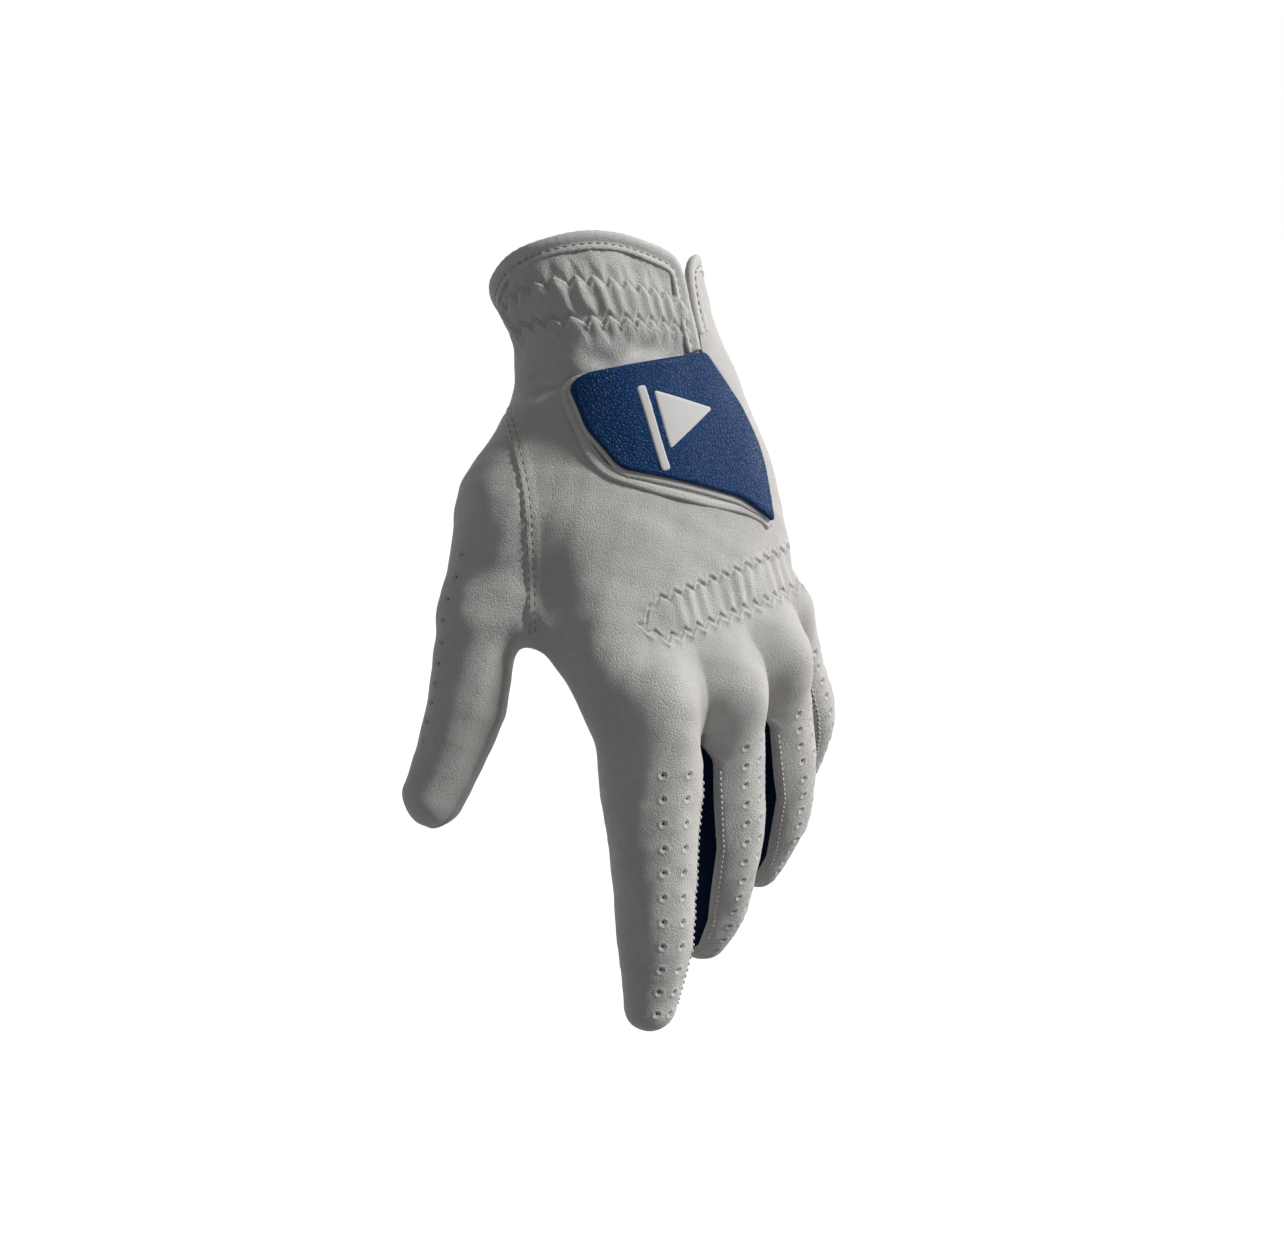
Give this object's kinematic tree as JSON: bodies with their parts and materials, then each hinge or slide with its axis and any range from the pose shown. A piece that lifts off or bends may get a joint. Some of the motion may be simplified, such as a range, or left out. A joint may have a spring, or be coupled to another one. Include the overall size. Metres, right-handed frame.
{
  "type": "golf glove",
  "caption": "Left-hand leather golf glove in its worn shape, with open wrist, folding fingers and thumb, stretch gussets and a peel-open closure tab.",
  "frame": {"origin": "centre of the wrist opening, level with the middle of the cuff rim", "axes": "+Z out of the cuff towards the forearm with the fingers at -Z, -Y the back of the hand and +Y the palm, -X the thumb side and +X the little-finger side"},
  "size_m": [0.1401, 0.0792, 0.2187],
  "materials": {
    "glove_leather": "soft matt white leather",
    "binding": "folded white leather edge",
    "gusset_fabric": "navy stretch knit",
    "tab_blue": "pebbled navy leather",
    "emblem": "raised off-white print",
    "hook": "hook tape",
    "loop": "brushed loop tape",
    "lining": "thin woven lining",
    "elastic": "woven elastic tape",
    "thread": "polyester sewing thread"
  },
  "bodies": {
    "hand": {"back_leather": "glove_leather", "closure_flap": "glove_leather", "cuff_binding": "binding", "index_middle_web": "gusset_fabric", "knuckle_elastic": "elastic", "landing_border": "binding", "landing_pad": "loop", "middle_ring_web": "gusset_fabric", "palm_leather": "glove_leather", "ring_little_web": "gusset_fabric", "slit_binding": "binding", "thumb_root_back": "glove_leather", "thumb_root_palm": "glove_leather", "wrist_elastic_lower": "elastic", "wrist_elastic_upper": "elastic"},
    "index_base": {"index_base_gusset": "gusset_fabric", "index_base_leather": "glove_leather"},
    "index_mid": {"index_mid_gusset": "gusset_fabric", "index_mid_leather": "glove_leather"},
    "index_tip": {"index_tip_gusset": "gusset_fabric", "index_tip_leather": "glove_leather"},
    "middle_base": {"middle_base_back": "glove_leather", "middle_base_outer_gusset": "gusset_fabric", "middle_base_palm": "glove_leather", "middle_base_thumbside_gusset": "gusset_fabric"},
    "middle_mid": {"middle_mid_back": "glove_leather", "middle_mid_outer_gusset": "gusset_fabric", "middle_mid_palm": "glove_leather", "middle_mid_thumbside_gusset": "gusset_fabric"},
    "middle_tip": {"middle_tip_back": "glove_leather", "middle_tip_outer_gusset": "gusset_fabric", "middle_tip_palm": "glove_leather", "middle_tip_thumbside_gusset": "gusset_fabric"},
    "ring_base": {"ring_base_back": "glove_leather", "ring_base_outer_gusset": "gusset_fabric", "ring_base_palm": "glove_leather", "ring_base_thumbside_gusset": "gusset_fabric"},
    "ring_mid": {"ring_mid_back": "glove_leather", "ring_mid_outer_gusset": "gusset_fabric", "ring_mid_palm": "glove_leather", "ring_mid_thumbside_gusset": "gusset_fabric"},
    "ring_tip": {"ring_tip_back": "glove_leather", "ring_tip_outer_gusset": "gusset_fabric", "ring_tip_palm": "glove_leather", "ring_tip_thumbside_gusset": "gusset_fabric"},
    "little_base": {"little_base_gusset": "gusset_fabric", "little_base_leather": "glove_leather"},
    "little_mid": {"little_mid_gusset": "gusset_fabric", "little_mid_leather": "glove_leather"},
    "little_tip": {"little_tip_gusset": "gusset_fabric", "little_tip_leather": "glove_leather"},
    "thumb_base": {"thumb_base_back": "glove_leather", "thumb_base_palm": "glove_leather"},
    "thumb_tip": {"thumb_tip_back": "glove_leather", "thumb_tip_palm": "glove_leather"},
    "closure_tab": {"hook_pad": "hook", "tab_lining": "lining", "tab_leather": "tab_blue", "tab_emblem": "emblem"}
  },
  "joints": [
    {"name": "index_root_hinge", "type": "hinge", "parent": "hand", "child": "index_base", "pos_m": [-0.03423, 0.00428, -0.14649], "axis": [0.9744, -0.0872, -0.2071], "range_deg": [-15, 40], "stiffness_Nm_per_rad": 0.03},
    {"name": "index_middle_hinge", "type": "hinge", "parent": "index_base", "child": "index_mid", "pos_m": [-0.03748, 0.00791, -0.1633], "axis": [0.9744, -0.0872, -0.2071], "range_deg": [-10, 60], "stiffness_Nm_per_rad": 0.03},
    {"name": "index_tip_hinge", "type": "hinge", "parent": "index_mid", "child": "index_tip", "pos_m": [-0.04195, 0.01435, -0.18704], "axis": [0.9744, -0.0872, -0.2071], "range_deg": [-7, 40], "stiffness_Nm_per_rad": 0.03},
    {"name": "middle_root_hinge", "type": "hinge", "parent": "hand", "child": "middle_base", "pos_m": [-0.00487, 0.00652, -0.14654], "axis": [0.9986, 0, 0.0523], "range_deg": [-15, 40], "stiffness_Nm_per_rad": 0.03},
    {"name": "middle_middle_hinge", "type": "hinge", "parent": "middle_base", "child": "middle_mid", "pos_m": [-0.00379, 0.0166, -0.16719], "axis": [0.9986, 0, 0.0523], "range_deg": [-10, 60], "stiffness_Nm_per_rad": 0.03},
    {"name": "middle_tip_hinge", "type": "hinge", "parent": "middle_mid", "child": "middle_tip", "pos_m": [-0.00258, 0.03406, -0.19031], "axis": [0.9986, 0, 0.0523], "range_deg": [-7, 40], "stiffness_Nm_per_rad": 0.03},
    {"name": "ring_root_hinge", "type": "hinge", "parent": "hand", "child": "ring_base", "pos_m": [0.01926, 0.00896, -0.14462], "axis": [0.975, 0.0523, 0.2161], "range_deg": [-15, 40], "stiffness_Nm_per_rad": 0.03},
    {"name": "ring_middle_hinge", "type": "hinge", "parent": "ring_base", "child": "ring_mid", "pos_m": [0.02235, 0.01763, -0.16066], "axis": [0.975, 0.0523, 0.2161], "range_deg": [-10, 60], "stiffness_Nm_per_rad": 0.03},
    {"name": "ring_tip_hinge", "type": "hinge", "parent": "ring_mid", "child": "ring_tip", "pos_m": [0.02577, 0.03567, -0.18046], "axis": [0.975, 0.0523, 0.2161], "range_deg": [-7, 40], "stiffness_Nm_per_rad": 0.03},
    {"name": "little_root_hinge", "type": "hinge", "parent": "hand", "child": "little_base", "pos_m": [0.03686, 0.01291, -0.1314], "axis": [0.9067, 0.1219, 0.4037], "range_deg": [-15, 40], "stiffness_Nm_per_rad": 0.03},
    {"name": "little_middle_hinge", "type": "hinge", "parent": "little_base", "child": "little_mid", "pos_m": [0.04123, 0.01922, -0.14311], "axis": [0.9067, 0.1219, 0.4037], "range_deg": [-10, 60], "stiffness_Nm_per_rad": 0.03},
    {"name": "little_tip_hinge", "type": "hinge", "parent": "little_mid", "child": "little_tip", "pos_m": [0.04603, 0.03198, -0.15775], "axis": [0.9067, 0.1219, 0.4037], "range_deg": [-7, 40], "stiffness_Nm_per_rad": 0.03},
    {"name": "thumb_root_hinge", "type": "hinge", "parent": "hand", "child": "thumb_base", "pos_m": [-0.055, 0.026, -0.084], "axis": [-0.3606, -0.9065, -0.2197], "range_deg": [-12, 20], "stiffness_Nm_per_rad": 0.03},
    {"name": "thumb_tip_hinge", "type": "hinge", "parent": "thumb_base", "child": "thumb_tip", "pos_m": [-0.063, 0.035, -0.108], "axis": [-0.3606, -0.9065, -0.2197], "range_deg": [-12, 20], "stiffness_Nm_per_rad": 0.03},
    {"name": "closure_tab_peel", "type": "hinge", "parent": "hand", "child": "closure_tab", "pos_m": [0.0264, -0.0146, -0.068], "axis": [-0.0553, -0.0884, 0.9946], "range_deg": [0, 120]}
  ],
  "couplings": [
    {"joint": "index_tip_hinge", "follows": "index_middle_hinge", "ratio": 0.65},
    {"joint": "middle_tip_hinge", "follows": "middle_middle_hinge", "ratio": 0.65},
    {"joint": "ring_tip_hinge", "follows": "ring_middle_hinge", "ratio": 0.65},
    {"joint": "little_tip_hinge", "follows": "little_middle_hinge", "ratio": 0.65}
  ]
}
